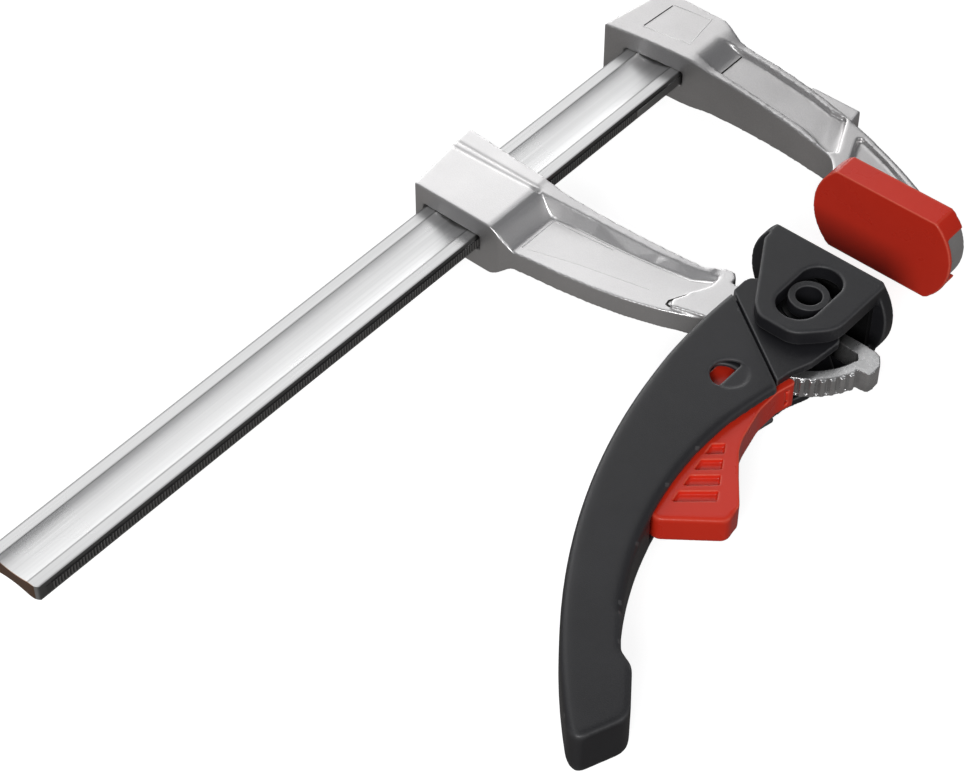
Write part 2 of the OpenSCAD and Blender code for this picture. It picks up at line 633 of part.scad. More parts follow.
// Shallow slots between the pocket's left and right edges
module louvres() {
  left = [[12.9, -75.3], [8.5, -51.2]];
  right = [[21.4, -68], [10.4, -49.4]];
  for (i = [0 : louvre_count - 1])
    let (t = i / louvre_count, u = t + 0.62 / louvre_count)
    polygon([
      left[0] + (left[1] - left[0]) * t, right[0] + (right[1] - right[0]) * t,
      right[0] + (right[1] - right[0]) * u, left[0] + (left[1] - left[0]) * u,
    ]);
}
module trigger() color(red) at_pivot() difference() {
  slab(trigger_h) polygon(trigger_points());
  // seat of the pawl, and the sweep of the sector
  cylinder(h = 4 * trigger_h, r = sector_r + 0.4, center = true);
  slab(pawl_h + eps) pawl_outline(eps);
  both_sides() slab_between(trigger_h - louvre_depth, trigger_h + 1) louvres();
  // thinner upper arm
  both_sides() slab_between(trigger_h - 0.8, trigger_h + 1) polygon([
    [-12, -41], [7.4, -42.4], [8.6, -36], [8.7, -28], [10.2, -22], [10.2, -18], [-12, -18],
  ]);
  translate([trigger_c[0], trigger_c[1], 0]) cylinder(h = 4 * trigger_h, r = trigger_pin_r + run, center = true);
  pawl_pin_shank(eps);
}
module pawl_outline(grow) polygon(concat(
  arc([0, 0], pawl_r + pawl_w + grow, pawl_from - 2 * grow, pawl_to + 2 * grow, 8),
  flat([for (i = [0 : floor((pawl_to - pawl_from) / tooth_step) - 1])
    let (a = pawl_to - i * tooth_step) [
      polar([0, 0], pawl_r + tooth_depth * 0.8, a - 0.05 * tooth_step),
      polar([0, 0], pawl_r, a - 0.4 * tooth_step),
      polar([0, 0], pawl_r, a - 0.6 * tooth_step),
    ]]),
  [polar([0, 0], pawl_r + tooth_depth * 0.8, pawl_from)]
));
pawl_pin_c = polar([0, 0], pawl_r + 2.6, pawl_from + 5);
module pawl_pin_shank(gap) translate([pawl_pin_c[0], pawl_pin_c[1], 0])
  cylinder(h = 2 * trigger_h - 0.6, r = 0.8 + gap, center = true);
module pawl() color(steel) at_pivot() difference() {
  slab(pawl_h) pawl_outline(0);
  pawl_pin_shank(eps);
}
module pawl_pin() color(steel) at_pivot() pawl_pin_shank(0);

// Extension spring between the grip's wall and the trigger's upper end
spring_y = -32.4;
spring_r = 1.7;
wire_r = 0.3;
spring_turns = 7;
spring_from = convex_at(spring_y) + grip_wall + wire_r + 0.3;
spring_to = -7.5 - wire_r;
function spring_at(t) = [
  spring_from + (spring_to - spring_from) * t,
  spring_y + spring_r * cos(360 * spring_turns * t),
  spring_r * sin(360 * spring_turns * t),
];
function wire_ring(t) = let (
    c = spring_at(t),
    a = 360 * spring_turns * t,
    out = [0, cos(a), sin(a)]
  )
  [for (k = [0 : 5]) c + wire_r * (cos(60 * k) * [1, 0, 0] + sin(60 * k) * out)];
module trigger_spring() color(bright) at_pivot() {
  n = 12 * spring_turns;
  points = flat([for (i = [0 : n]) wire_ring(i / n)]);
  sides = [for (i = [0 : n - 1]) for (k = [0 : 5])
    let (a = 6 * i + k, b = 6 * i + (k + 1) % 6)
    each [[a, b, a + 6], [b, b + 6, a + 6]]];
  polyhedron(points, concat(sides, [[5, 4, 3, 2, 1, 0], [for (k = [0 : 5]) 6 * n + k]]), convexity = 10);
}

at_jaw_face() rail();
at_jaw_face() fixed_jaw();
at_jaw_face() jaw_dowels();
at_jaw_face() jaw_cap();
at_jaw_face() sliding_arm();
at_jaw_face() grip_pins();
at_jaw_face() toothed_sector();
at_jaw_face() sector_rivets();
at_jaw_face() pivot_sleeve();
at_jaw_face() pivot_washers();
at_jaw_face() pressure_cap();
at_jaw_face() pressure_plate();
at_jaw_face() lever_head();
at_jaw_face() lever_grip();
at_jaw_face() trigger_pin();
at_jaw_face() trigger();
at_jaw_face() pawl();
at_jaw_face() pawl_pin();
at_jaw_face() trigger_spring();
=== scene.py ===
import bpy
import math
from mathutils import Vector, Matrix


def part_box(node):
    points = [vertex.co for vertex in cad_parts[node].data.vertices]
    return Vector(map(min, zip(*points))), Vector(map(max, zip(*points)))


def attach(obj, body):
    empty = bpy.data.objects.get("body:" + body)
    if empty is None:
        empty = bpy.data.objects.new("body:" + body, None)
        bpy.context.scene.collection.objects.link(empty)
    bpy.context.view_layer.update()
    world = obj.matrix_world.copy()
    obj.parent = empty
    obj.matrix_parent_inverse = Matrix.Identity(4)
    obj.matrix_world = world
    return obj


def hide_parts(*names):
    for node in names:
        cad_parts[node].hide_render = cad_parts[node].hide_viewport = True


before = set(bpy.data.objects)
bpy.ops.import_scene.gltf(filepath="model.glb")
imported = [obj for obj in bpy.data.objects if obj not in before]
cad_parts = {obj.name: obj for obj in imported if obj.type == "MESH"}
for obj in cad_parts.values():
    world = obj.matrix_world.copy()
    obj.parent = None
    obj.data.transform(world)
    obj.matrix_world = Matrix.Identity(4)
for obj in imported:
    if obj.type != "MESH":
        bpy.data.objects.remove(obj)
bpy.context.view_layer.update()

print("clamp: frame loaded")

mergeDistance = 0.000004
railLow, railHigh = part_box("rail")
railMiddle = (railLow[0] + railHigh[0]) / 2
sleeveLow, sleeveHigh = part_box("pivot_sleeve")
pivotPlace = (sleeveLow[0] / 2 + sleeveHigh[0] / 2, sleeveLow[1] / 2 + sleeveHigh[1] / 2)


def fromRail(x, y, z):
    # millimetres out from the rail's middle, along it from the fixed jaw's face, and up
    return (railMiddle + x / 1000, y / 1000, z / 1000)


def fromPivot(x, y, z):
    # millimetres from the lever's pivot
    return (pivotPlace[0] + x / 1000, pivotPlace[1] + y / 1000, z / 1000)


def mirrored(points):
    return [(x, y, -z) for x, y, z in points]


def deselectAll():
    if bpy.context.object and bpy.context.object.mode != "OBJECT":
        bpy.ops.object.mode_set(mode="OBJECT")
    bpy.ops.object.select_all(action="DESELECT")


def makeActive(obj):
    deselectAll()
    obj.select_set(True)
    bpy.context.view_layer.objects.active = obj


def mergedCopy(node, name):
    # a copy of a CAD piece with its loose triangles joined into one skin
    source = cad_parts[node]
    piece = source.copy()
    piece.data = source.data.copy()
    piece.name = name
    for mod in list(piece.modifiers):
        piece.modifiers.remove(mod)
    bpy.context.scene.collection.objects.link(piece)
    piece.parent = None
    piece.matrix_world = Matrix.Identity(4)
    makeActive(piece)
    bpy.ops.object.mode_set(mode="EDIT")
    bpy.ops.mesh.select_all(action="SELECT")
    bpy.ops.mesh.customdata_custom_splitnormals_clear()
    bpy.ops.mesh.remove_doubles(threshold=mergeDistance)
    bpy.ops.object.mode_set(mode="OBJECT")
    return piece


def applyModifier(piece, name, kind, **values):
    makeActive(piece)
    mod = piece.modifiers.new(name, kind)
    for key, value in values.items():
        setattr(mod, key, value)
    bpy.ops.object.modifier_apply(modifier=mod.name)


def cutWith(piece, cutter):
    applyModifier(piece, "cut", "BOOLEAN", operation="DIFFERENCE", solver="EXACT", object=cutter)
    bpy.data.objects.remove(cutter)


def soften(piece, look):
    # rounds every edge and fills every inner corner, as a mould or a blast finish does
    applyModifier(piece, "skin", "REMESH", mode="VOXEL", voxel_size=look["voxel"], use_smooth_shade=True)
    applyModifier(piece, "round", "SMOOTH", factor=0.5, iterations=look["rounds"])
    deselectAll()


def softenFurther(piece, rounds, share):
    # more rounding where share(place) is above nought
    group = piece.vertex_groups.new(name="further")
    for vertex in piece.data.vertices:
        group.add([vertex.index], share(vertex.co), "REPLACE")
    applyModifier(piece, "roundMore", "SMOOTH", factor=0.5, iterations=rounds, vertex_group="further")
    piece.vertex_groups.clear()


def joinInto(piece, others):
    deselectAll()
    for other in others:
        other.select_set(True)
    piece.select_set(True)
    bpy.context.view_layer.objects.active = piece
    bpy.ops.object.join()


def tube(name, points, radius):
    # a thin rod along the points, for raised lines painted near-white as highlights, for near-black lines
    # painted where shade falls, and for cutting a groove; radius in millimetres
    curve = bpy.data.curves.new(name, "CURVE")
    curve.dimensions = "3D"
    spline = curve.splines.new("POLY")
    spline.points.add(len(points) - 1)
    for knot, place in zip(spline.points, points):
        knot.co = (*place, 1)
    curve.bevel_depth = radius / 1000
    curve.bevel_resolution = 2
    curve.use_fill_caps = True
    rod = bpy.data.objects.new(name, curve)
    bpy.context.scene.collection.objects.link(rod)
    makeActive(rod)
    bpy.ops.object.convert(target="MESH")
    return bpy.context.object


def loft(name, sections):
    # a closed solid through rings of points, all with the same count
    deselectAll()
    bpy.ops.mesh.primitive_circle_add(vertices=len(sections[0]), radius=0.01, fill_type="NGON")
    solid = bpy.context.object
    solid.name = name
    for vertex, place in zip(solid.data.vertices, sections[0]):
        vertex.co = place
    for ring in sections[1:]:
        count = len(solid.data.vertices)
        bpy.ops.object.mode_set(mode="EDIT")
        bpy.ops.mesh.extrude_region_move()
        bpy.ops.object.mode_set(mode="OBJECT")
        for index, place in enumerate(ring):
            solid.data.vertices[count + index].co = place
    bpy.ops.object.mode_set(mode="EDIT")
    bpy.ops.mesh.select_all(action="SELECT")
    bpy.ops.mesh.normals_make_consistent(inside=False)
    bpy.ops.object.mode_set(mode="OBJECT")
    return solid


def cutBothSides(piece, name, rings):
    # the same pocket in the upper and the lower side
    cutWith(piece, loft(name, rings))
    cutWith(piece, loft(name + "Below", [mirrored(ring) for ring in rings]))


def addLines(piece, look, base):
    # thin rods on both sides of the clamp, each line with its own radius and finish; the near-white finish
    # paints a highlight and the near-black one paints shade
    piece.data.materials.clear()
    piece.data.materials.append(base)
    rods = []
    for name, line in look["lines"].items():
        points = [fromRail(*place) for place in line["points"]]
        for side in (points, mirrored(points)):
            rod = tube(name, side, line["radius"])
            rod.data.materials.append(line["finish"])
            rods.append(rod)
    joinInto(piece, rods)
    makeActive(piece)
    bpy.ops.object.shade_smooth_by_angle(angle=math.radians(look["smoothAngle"]))


def dress(piece, node, body, material=None):
    # a piece with lines has its finishes already, so it comes without a material
    if material:
        piece.data.materials.clear()
        piece.data.materials.append(material)
    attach(piece, body)
    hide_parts(node)


def addNode(tree, kind, x, y, **values):
    node = tree.nodes.new(kind)
    node.location = (x, y)
    for key, value in values.items():
        setattr(node, key, value)
    return node


def setOrLink(tree, socket, value):
    # a number and a colour are set, and an output is linked
    if isinstance(value, (int, float)):
        socket.default_value = value
    elif isinstance(value, tuple):
        socket.default_value = (*value, 1.0)
    else:
        tree.links.new(value, socket)


def mathNode(tree, operation, x, y, first, second=None, clamp=False):
    node = addNode(tree, "ShaderNodeMath", x, y, operation=operation, use_clamp=clamp)
    setOrLink(tree, node.inputs[0], first)
    if second is not None:
        setOrLink(tree, node.inputs[1], second)
    return node.outputs[0]


def noiseNode(tree, x, y, vector, scale, detail, rough):
    node = addNode(tree, "ShaderNodeTexNoise", x, y)
    setOrLink(tree, node.inputs["Scale"], scale)
    node.inputs["Detail"].default_value = detail
    node.inputs["Roughness"].default_value = rough
    tree.links.new(vector, node.inputs["Vector"])
    return node.outputs["Fac"]


def rangeNode(tree, x, y, value, start=0.0, end=1.0, low=0.0, high=1.0):
    node = addNode(tree, "ShaderNodeMapRange", x, y)
    tree.links.new(value, node.inputs["Value"])
    setOrLink(tree, node.inputs["From Min"], start)
    setOrLink(tree, node.inputs["From Max"], end)
    node.inputs["To Min"].default_value = low
    node.inputs["To Max"].default_value = high
    return node.outputs["Result"]


def objectCoords(tree, x, y):
    return addNode(tree, "ShaderNodeTexCoord", x, y).outputs["Object"]


def newGroup(name, inputs, outputs):
    group = bpy.data.node_groups.new(name, "ShaderNodeTree")
    for key, value in inputs.items():
        socket = group.interface.new_socket(name=key, in_out="INPUT", socket_type="NodeSocketFloat")
        socket.default_value = value
    for key in outputs:
        group.interface.new_socket(name=key, in_out="OUTPUT", socket_type="NodeSocketFloat")
    inside = addNode(group, "NodeGroupInput", -900, 0)
    outside = addNode(group, "NodeGroupOutput", 900, 0)
    return group, inside, outside


# where the painted highlight on outer edges starts and is full, how noise breaks it up, and where the painted
# shade in inner corners lies
edgeLightLook = {
    "inputs": {"Start": 0.515, "Full": 0.60, "Break Up": 0.5},
    "breaks": {"scale": 900.0, "detail": 4.0, "rough": 0.6},
    "breakRange": {"start": 0.35, "end": 0.65}, "cornerShadeRange": {"start": 0.485, "end": 0.40},
}


def buildEdgeWear(look):
    # painted highlight mask on outer edges and painted shade mask in inner corners
    group, inside, outside = newGroup("edgeWear", look["inputs"], ["Edge", "CornerShade"])
    pointy = addNode(group, "ShaderNodeNewGeometry", -900, 300).outputs["Pointiness"]
    breaks = noiseNode(group, -600, -300, objectCoords(group, -900, -300), **look["breaks"])
    broken = rangeNode(group, -300, -300, breaks, **look["breakRange"])
    mixBreak = addNode(group, "ShaderNodeMix", 0, -300, data_type="FLOAT")
    mixBreak.inputs["A"].default_value = 1.0
    group.links.new(inside.outputs["Break Up"], mixBreak.inputs["Factor"])
    group.links.new(broken, mixBreak.inputs["B"])
    edge = rangeNode(group, -300, 300, pointy, inside.outputs["Start"], inside.outputs["Full"])
    litEdge = mathNode(group, "MULTIPLY", 300, 200, edge, mixBreak.outputs["Result"], True)
    hollow = rangeNode(group, -300, 0, pointy, **look["cornerShadeRange"])
    group.links.new(litEdge, outside.inputs["Edge"])
    group.links.new(hollow, outside.inputs["CornerShade"])
    return group


grainLook = {
    "inputs": {"Fine": 3000.0, "Slow": 60.0},
    "fine": {"detail": 3.0, "rough": 0.62}, "slow": {"detail": 4.0, "rough": 0.55},
}


def buildGrain(look):
    # fine cast or moulded grain: a height for bump and a slow mottle for colour
    group, inside, outside = newGroup("surfaceGrain", look["inputs"], ["Height", "Mottle"])
    coords = objectCoords(group, -900, -300)
    fine = noiseNode(group, -300, 200, coords, inside.outputs["Fine"], **look["fine"])
    slow = noiseNode(group, -300, -200, coords, inside.outputs["Slow"], **look["slow"])
    group.links.new(fine, outside.inputs["Height"])
    group.links.new(slow, outside.inputs["Mottle"])
    return group


drawLook = {
    "inputs": {"Across": 1800.0, "Along": 14.0},
    "lines": {"scale": 1.0, "detail": 3.0, "rough": 0.6},
}


def buildDrawLines(look):
    # lengthwise streaks of drawn metal along Y
    group, inside, outside = newGroup("drawLines", look["inputs"], ["Lines"])
    split = addNode(group, "ShaderNodeSeparateXYZ", -900, -300)
    group.links.new(objectCoords(group, -1100, -300), split.inputs[0])
    join = addNode(group, "ShaderNodeCombineXYZ", -450, -200)
    for axis, stretch, y in (("X", "Across", 0), ("Z", "Across", -200), ("Y", "Along", -400)):
        scaled = mathNode(group, "MULTIPLY", -700, y, split.outputs[axis], inside.outputs[stretch])
        group.links.new(scaled, join.inputs[axis])
    lines = noiseNode(group, -200, 0, join.outputs[0], **look["lines"])
    group.links.new(lines, outside.inputs["Lines"])
    return group


# how far the painted shade round the lever's pivot reaches
pivotShadeLook = {"inputs": {"Near": 0.0106, "Far": 0.0135}, "most": 0.98}


def buildPivotShade(look):
    # painted shade mask round the lever's pivot, where the lever's head covers a piece, from the distance to
    # its axis
    group, inside, outside = newGroup("pivotShadeGroup", look["inputs"], ["Mask"])
    offset = addNode(group, "ShaderNodeVectorMath", -900, 0, operation="SUBTRACT")
    offset.inputs[1].default_value = (*pivotPlace, 0)
    group.links.new(objectCoords(group, -1100, 0), offset.inputs[0])
    flat = addNode(group, "ShaderNodeVectorMath", -700, 0, operation="MULTIPLY")
    flat.inputs[1].default_value = (1, 1, 0)
    group.links.new(offset.outputs[0], flat.inputs[0])
    reach = addNode(group, "ShaderNodeVectorMath", -500, 0, operation="LENGTH")
    group.links.new(flat.outputs[0], reach.inputs[0])
    far = inside.outputs["Far"]
    near = inside.outputs["Near"]
    mask = rangeNode(group, -100, 0, reach.outputs["Value"], far, near, high=look["most"])
    group.links.new(mask, outside.inputs["Mask"])
    return group


pivotShadeGroup = buildPivotShade(pivotShadeLook)
edgeWear = buildEdgeWear(edgeLightLook)
surfaceGrain = buildGrain(grainLook)
drawLines = buildDrawLines(drawLook)


def placeGroup(tree, group, x, y, values):
    node = addNode(tree, "ShaderNodeGroup", x, y, node_tree=group)
    for key, value in values.items():
        node.inputs[key].default_value = value
    return node


def newMaterial(name):
    material = bpy.data.materials.new(name)
    material.use_nodes = True
    tree = material.node_tree
    return material, tree, tree.nodes["Principled BSDF"]


def colourRamp(tree, x, y, value, stops):
    ramp = addNode(tree, "ShaderNodeValToRGB", x, y)
    elements = ramp.color_ramp.elements
    while len(elements) < len(stops):
        elements.new(0.5)
    for element, (place, colour) in zip(elements, stops):
        element.position = place
        element.color = (*colour, 1.0)
    tree.links.new(value, ramp.inputs["Fac"])
    return ramp.outputs["Color"]


def mixColours(tree, x, y, factor, first, second, blend="MIX"):
    node = addNode(tree, "ShaderNodeMix", x, y, data_type="RGBA", blend_type=blend)
    setOrLink(tree, node.inputs["Factor"], factor)
    setOrLink(tree, node.inputs["A"], first)
    setOrLink(tree, node.inputs["B"], second)
    return node.outputs["Result"]


def addGloss(tree, shader, look, height, driver):
    # roughness that the driver varies, bump from the grain, and how metallic it is
    low, high = look["rough"]
    rough = rangeNode(tree, -300, -250, driver, low=low, high=high)
    tree.links.new(rough, shader.inputs["Roughness"])
    bump = addNode(tree, "ShaderNodeBump", -250, -500)
    bump.inputs["Strength"].default_value = look["bumpStrength"]
    bump.inputs["Distance"].default_value = look["bumpDistance"]
    tree.links.new(height, bump.inputs["Height"])
    tree.links.new(bump.outputs["Normal"], shader.inputs["Normal"])
    shader.inputs["Metallic"].default_value = look["metallic"]


# base and light are the slow mottle, the next colours the painted highlight on outer edges and the painted
# shade in inner corners;
# rough is the least and the most roughness, and the pivot entry sets the painted shade round the lever's
# pivot where it reaches a piece
castLook = {
    "base": (0.74, 0.73, 0.73), "light": (0.82, 0.81, 0.81),
    "edge": (0.97, 0.965, 0.96), "edgeShare": 0.8, "hollow": (0.16, 0.15, 0.14), "cornerShadeShare": 0.7,
    "grain": {"Fine": 2600.0, "Slow": 45.0}, "edgeLightAndShade": {"Break Up": 0.35},
    "sparkle": {"start": 0.35, "end": 0.75, "high": 0.25}, "shadeNearPivot": {"Near": 0.0106, "Far": 0.0135},
    "rough": (0.30, 0.46), "metallic": 0.92, "bumpStrength": 0.35, "bumpDistance": 0.00012,
}
jawCastLook = {
    **castLook, "base": (0.58, 0.57, 0.57), "light": (0.68, 0.67, 0.67), "edge": (0.95, 0.94, 0.93),
    "hollow": (0.13, 0.12, 0.115), "rough": (0.28, 0.44), "shadeNearPivot": None,
}
steelLook = {
    "base": (0.48, 0.48, 0.48), "light": (0.66, 0.66, 0.66),
    "edge": (0.8, 0.8, 0.8), "edgeShare": 0.8, "hollow": (0.07, 0.065, 0.06), "cornerShadeShare": 0.7,
    "grain": {"Fine": 1400.0, "Slow": 120.0}, "edgeLightAndShade": {},
    "rough": (0.22, 0.42), "metallic": 0.9, "bumpStrength": 0.12, "bumpDistance": 0.00008,
}
sectorLook = {
    **steelLook, "base": (0.50, 0.50, 0.50), "light": (0.70, 0.70, 0.70), "rough": (0.20, 0.40),
    "shadeNearPivot": {"Near": 0.0110, "Far": 0.0155},
}
darkSteelLook = {
    **steelLook, "base": (0.020, 0.020, 0.022), "light": (0.030, 0.030, 0.032), "edge": (0.05, 0.05, 0.05),
    "rough": (0.36, 0.56),
}
# near-white finish for rods that are painted highlights
highlightLineLook = {
    **steelLook, "base": (0.97, 0.965, 0.96), "light": (0.98, 0.975, 0.97), "edge": (0.98, 0.975, 0.97),
    "rough": (0.39, 0.59),
}
# near-black finish for rods that are painted shade in grooves and at steps
shadeLineLook = {
    **steelLook, "base": (0.035, 0.033, 0.031), "light": (0.05, 0.048, 0.045), "edge": (0.05, 0.048, 0.045),
    "rough": (0.54, 0.74),
}
redLook = {
    "base": (0.72, 0.030, 0.012), "light": (0.78, 0.038, 0.016),
    "edge": (0.95, 0.24, 0.16), "edgeShare": 0.45, "hollow": (0.20, 0.006, 0.004), "cornerShadeShare": 0.5,
    "grain": {"Fine": 1500.0, "Slow": 40.0}, "edgeLightAndShade": {"Start": 0.506, "Full": 0.540, "Break Up": 0.0},
    "rough": (0.21, 0.36), "roughFrom": "Mottle", "specular": 0.32,
    "metallic": 0.0, "bumpStrength": 0.08, "bumpDistance": 0.00006,
}
blackLook = {
    "base": (0.010, 0.010, 0.012), "light": (0.016, 0.016, 0.019),
    "edge": (0.085, 0.085, 0.088), "edgeShare": 0.9, "hollow": (0.008, 0.008, 0.009), "cornerShadeShare": 0.5,
    "grain": {"Fine": 3200.0, "Slow": 50.0}, "edgeLightAndShade": {"Start": 0.506, "Full": 0.535, "Break Up": 0.15},
    "rough": (0.36, 0.56), "metallic": 0.0, "bumpStrength": 0.40, "bumpDistance": 0.00010,
}
# the colour of the painted shade round the lever's pivot
pivotShadeColour = (0.01, 0.01, 0.01)


def makeFinish(name, look):
    material, tree, shader = newMaterial(name)
    grain = placeGroup(tree, surfaceGrain, -1100, 0, look["grain"])
    edgeLightAndShade = placeGroup(tree, edgeWear, -1100, 300, look["edgeLightAndShade"])
    mottle = [(0.3, look["base"]), (0.7, look["light"])]
    colour = colourRamp(tree, -800, 0, grain.outputs["Mottle"], mottle)
    if "sparkle" in look:
        specks = rangeNode(tree, -800, -260, grain.outputs["Height"], **look["sparkle"])
        colour = mixColours(tree, -560, 0, specks, colour, look["edge"])
    # painted shade in inner corners, then a painted highlight on outer edges
    hollow = mathNode(tree, "MULTIPLY", -560, 260, edgeLightAndShade.outputs["CornerShade"], look["cornerShadeShare"])
    colour = mixColours(tree, -360, 60, hollow, colour, look["hollow"])
    edge = mathNode(tree, "MULTIPLY", -360, 320, edgeLightAndShade.outputs["Edge"], look["edgeShare"])
    colour = mixColours(tree, -160, 120, edge, colour, look["edge"])
    # painted shade round the lever's pivot, under the lever's head
    if look.get("shadeNearPivot"):
        shadeNearPivot = placeGroup(tree, pivotShadeGroup, -300, -700, look["shadeNearPivot"])
        colour = mixColours(tree, 0, 200, shadeNearPivot.outputs["Mask"], colour, pivotShadeColour)
    tree.links.new(colour, shader.inputs["Base Color"])
    if "specular" in look:
        shader.inputs["Specular IOR Level"].default_value = look["specular"]
    driver = grain.outputs[look.get("roughFrom", "Height")]
    addGloss(tree, shader, look, grain.outputs["Height"], driver)
    return material


railLook = {
    "base": (0.70, 0.70, 0.70), "light": (0.80, 0.80, 0.80), "dark": (0.60, 0.60, 0.60),
    "rust": (0.30, 0.17, 0.11), "rustFrom": 0.0002, "rustFull": 0.0001,
    "lines": {"Across": 1500.0, "Along": 7.0}, "grain": {"Fine": 2600.0, "Slow": 26.0},
    "rough": (0.20, 0.36), "metallic": 0.95, "bumpStrength": 0.12, "bumpDistance": 0.00006,
    # millimetres from the rail's middle, and how light the surface is painted there: a painted highlight and
    # a dark painted line at the channel's edge, painted shade on the lower bevel and in the serrations'
    # valleys
    "halfWidth": 10,
    "across": [(0.0, 0.92), (4.6, 1.0), (5.4, 1.0), (5.75, 0.42), (6.2, 0.90), (8.6, 0.86), (9.15, 0.30),
               (9.5, 0.26), (9.62, 0.13), (9.80, 0.30), (9.99, 0.62)],
}


def makeRailSteel(name, look):
    material, tree, shader = newMaterial(name)
    lines = placeGroup(tree, drawLines, -1100, 0, look["lines"])
    grain = placeGroup(tree, surfaceGrain, -1100, -300, look["grain"])
    streaks = [(0.25, look["dark"]), (0.5, look["base"]), (0.75, look["light"])]
    colour = colourRamp(tree, -800, 0, lines.outputs["Lines"], streaks)
    colour = mixColours(tree, -560, 0, grain.outputs["Mottle"], colour, look["base"])
    # painted highlight and painted shade across the rail's width, from the distance to its middle
    split = addNode(tree, "ShaderNodeSeparateXYZ", -1300, 500)
    tree.links.new(objectCoords(tree, -1500, 500), split.inputs[0])
    offset = mathNode(tree, "SUBTRACT", -1100, 500, split.outputs["X"], railMiddle)
    reach = mathNode(tree, "ABSOLUTE", -900, 500, offset)
    place = mathNode(tree, "MULTIPLY", -700, 500, reach, 1000.0 / look["halfWidth"])
    stops = [(x / look["halfWidth"], (pale,) * 3) for x, pale in look["across"]]
    paintedShading = colourRamp(tree, -500, 500, place, stops)
    colour = mixColours(tree, -160, 120, 1.0, colour, paintedShading, "MULTIPLY")
    # the sawn end is rusty
    rustFrom = railLow[1] + look["rustFrom"]
    rustFull = railLow[1] + look["rustFull"]
    sawn = rangeNode(tree, -500, 800, split.outputs["Y"], rustFrom, rustFull)
    colour = mixColours(tree, 0, 300, sawn, colour, look["rust"])
    tree.links.new(colour, shader.inputs["Base Color"])
    addGloss(tree, shader, look, grain.outputs["Height"], grain.outputs["Mottle"])
    return material


castAlloy = makeFinish("castAlloy", castLook)
castAlloyDull = makeFinish("castAlloyDull", jawCastLook)
highlightLineFinish = makeFinish("highlightLineFinish", highlightLineLook)
shadeLineFinish = makeFinish("shadeLineFinish", shadeLineLook)
sectorSteel = makeFinish("sectorSteel", sectorLook)
darkSteel = makeFinish("darkSteel", darkSteelLook)
railSteel = makeRailSteel("railSteel", railLook)
hardSteel = makeFinish("hardSteel", steelLook)
redPlastic = makeFinish("redPlastic", redLook)
blackNylon = makeFinish("blackNylon", blackLook)
print("clamp: finishes made")


railShape = {
    "channelHalf": 5.75, "channelDepth": 0.70, "cuts": 12, "smoothAngle": 8,
    "faceHeight": 2.5, "faceFrom": 1.6,
}


def makeRail(look):
    # the shallow channel becomes a true hollow curve across its width
    piece = mergedCopy("rail", "railBar")
    half = look["channelHalf"]
    makeActive(piece)
    bpy.ops.object.mode_set(mode="EDIT")
    for step in range(look["cuts"] + 1):
        x = -half + 2 * half * step / look["cuts"]
        bpy.ops.mesh.select_all(action="SELECT")
        bpy.ops.mesh.bisect(plane_co=fromRail(x, 0, 0), plane_no=(1, 0, 0))
    bpy.ops.mesh.select_all(action="DESELECT")
    bpy.ops.object.mode_set(mode="OBJECT")
    for vertex in piece.data.vertices:
        x = (vertex.co.x - railMiddle) * 1000
        z = vertex.co.z * 1000
        if abs(x) < half and abs(z) > look["faceFrom"]:
            hollow = look["channelDepth"] * (1 - (x / half) ** 2)
            vertex.co.z = math.copysign(look["faceHeight"] - hollow, z) / 1000
    makeActive(piece)
    bpy.ops.object.shade_smooth_by_angle(angle=math.radians(look["smoothAngle"]))
    dress(piece, "rail", "frame_body", railSteel)


armShape = {
    "voxel": 0.00036, "rounds": 8, "smoothAngle": 50, "top": 12.0, "lean": 0.02,
    # X, then the flange's inner top edge, its top height, the foot of its slope, the cut's far side and floor
    "flange": [(13.8, -54.3, 8.95, -54.6, -58.5, 8.92), (16.4, -54.3, 8.8, -54.9, -58.5, 8.2),
               (18.3, -54.3, 8.6, -55.6, -58.5, 6.6), (20.3, -54.2, 8.3, -56.4, -58.5, 4.4),
               (22.5, -54.0, 7.95, -56.6, -58.5, 3.3), (34.5, -52.4, 7.0, -54.9, -58.5, 3.3),
               (47.6, -51.0, 6.15, -54.0, -58.5, 3.3), (54.0, -50.3, 5.75, -53.2, -58.5, 3.3),
               (60.0, -48.9, 5.35, -52.0, -58.5, 3.3), (65.8, -47.5, 5.0, -51.0, -61.0, 3.3),
               (69.3, -45.6, 4.9, -48.8, -54.4, 3.3), (71.2, -44.2, 4.85, -46.8, -50.4, 3.3)],
    "bossGroove": [(-17.6, -56.4, 9.1), (2, -55.8, 9.1), (12.0, -55.3, 9.1), (15.5, -55.0, 8.4)],
    "grooveRadius": 0.70,
    "lines": {
        # near-white rods are painted highlights along small steps
        "slopeLine": {"radius": 0.30, "finish": highlightLineFinish,
                      "points": [(21.6, -55.9, 3.3), (36.5, -55.1, 3.3), (47, -54.2, 3.3), (56, -52.9, 3.3),
                                 (65.4, -51.2, 3.3), (70.6, -48.0, 3.4)]},
        "frameLine": {"radius": 0.22, "finish": highlightLineFinish,
                      "points": [(22.4, -71.0, 3.25), (22.4, -57.0, 3.25), (30, -56.7, 3.25),
                                 (42, -55.6, 3.25)]},
        "lowLine": {"radius": 0.12, "finish": highlightLineFinish,
                    "points": [(24, -70.6, 3.25), (38.2, -66.2, 3.25), (59.2, -61.3, 3.25)]},
        # a near-black rod paints the shade in the plateau's groove
        "plateauLine": {"radius": 0.34, "finish": shadeLineFinish,
                        "points": [(72.4, -48.0, 3.4), (69.0, -54.8, 3.4), (65.7, -61.4, 3.3),
                                   (65.9, -62.7, 3.3), (67.3, -63.0, 3.4)]},
    },
}


